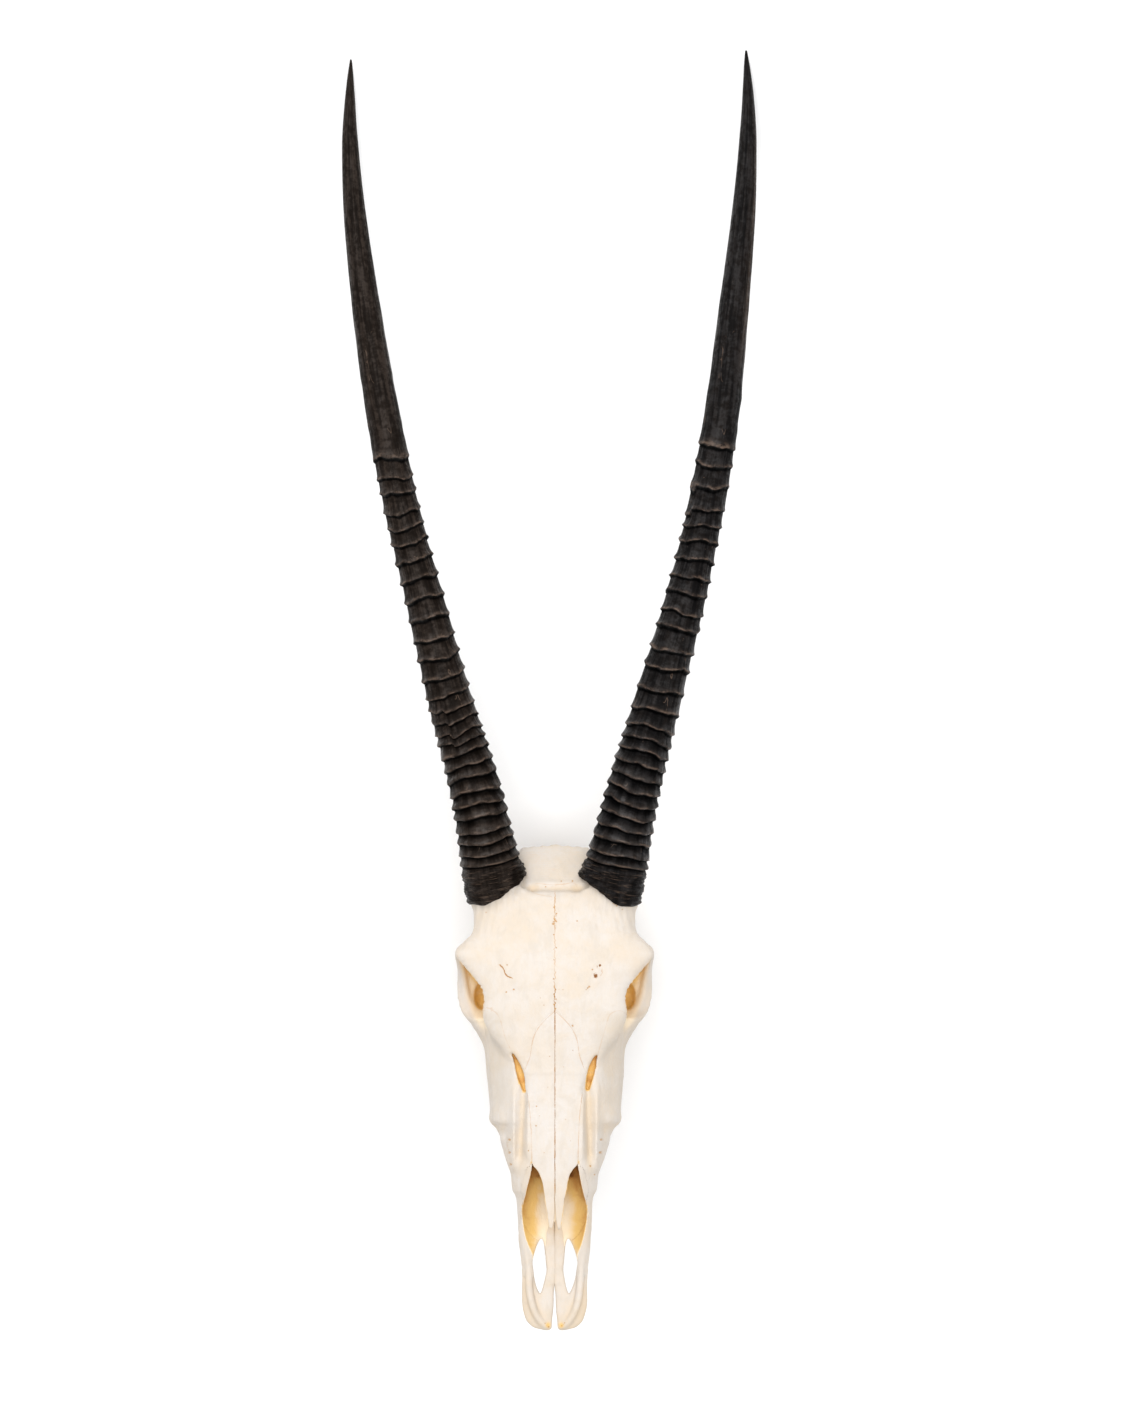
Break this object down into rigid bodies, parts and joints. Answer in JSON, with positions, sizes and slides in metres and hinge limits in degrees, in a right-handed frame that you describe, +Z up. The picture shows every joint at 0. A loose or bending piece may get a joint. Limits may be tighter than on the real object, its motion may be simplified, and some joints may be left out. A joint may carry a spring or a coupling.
{
  "type": "gemsbok skull with horns",
  "caption": "Bleached gemsbok skull without lower jaw, with long ringed black horns, lying face up on its base and horn tips.",
  "frame": {"origin": "on the table, under the middle of the whole skull and horns", "axes": "+Z up; +Y from the nose to the horn tips; +X across, towards the right as seen from above with the nose nearest"},
  "size_m": [0.3486, 1.0616, 0.2044],
  "materials": {
    "bone": "matte cleaned bone, cream with faint beige and ochre stains",
    "nose_bone": "matte cleaned bone, slightly paler and smoother",
    "tooth": "satin enamel with brown stain in the chewing face",
    "horn_left": "satin horn, warm brown black, ringed below and smooth to the tip",
    "horn_right": "satin horn, blue black with brown ring lips and a brown streak near the tip"
  },
  "bodies": {
    "root": {"cranium": "bone", "nasal_left": "nose_bone", "premaxilla_left": "bone", "horn_left": "horn_left", "tooth_left_p2": "tooth", "tooth_left_p3": "tooth", "tooth_left_p4": "tooth", "tooth_left_m1": "tooth", "tooth_left_m2": "tooth", "tooth_left_m3": "tooth", "nasal_right": "nose_bone", "premaxilla_right": "bone", "horn_right": "horn_right", "tooth_right_p2": "tooth", "tooth_right_p3": "tooth", "tooth_right_p4": "tooth", "tooth_right_m1": "tooth", "tooth_right_m2": "tooth", "tooth_right_m3": "tooth"}
  },
  "joints": []
}
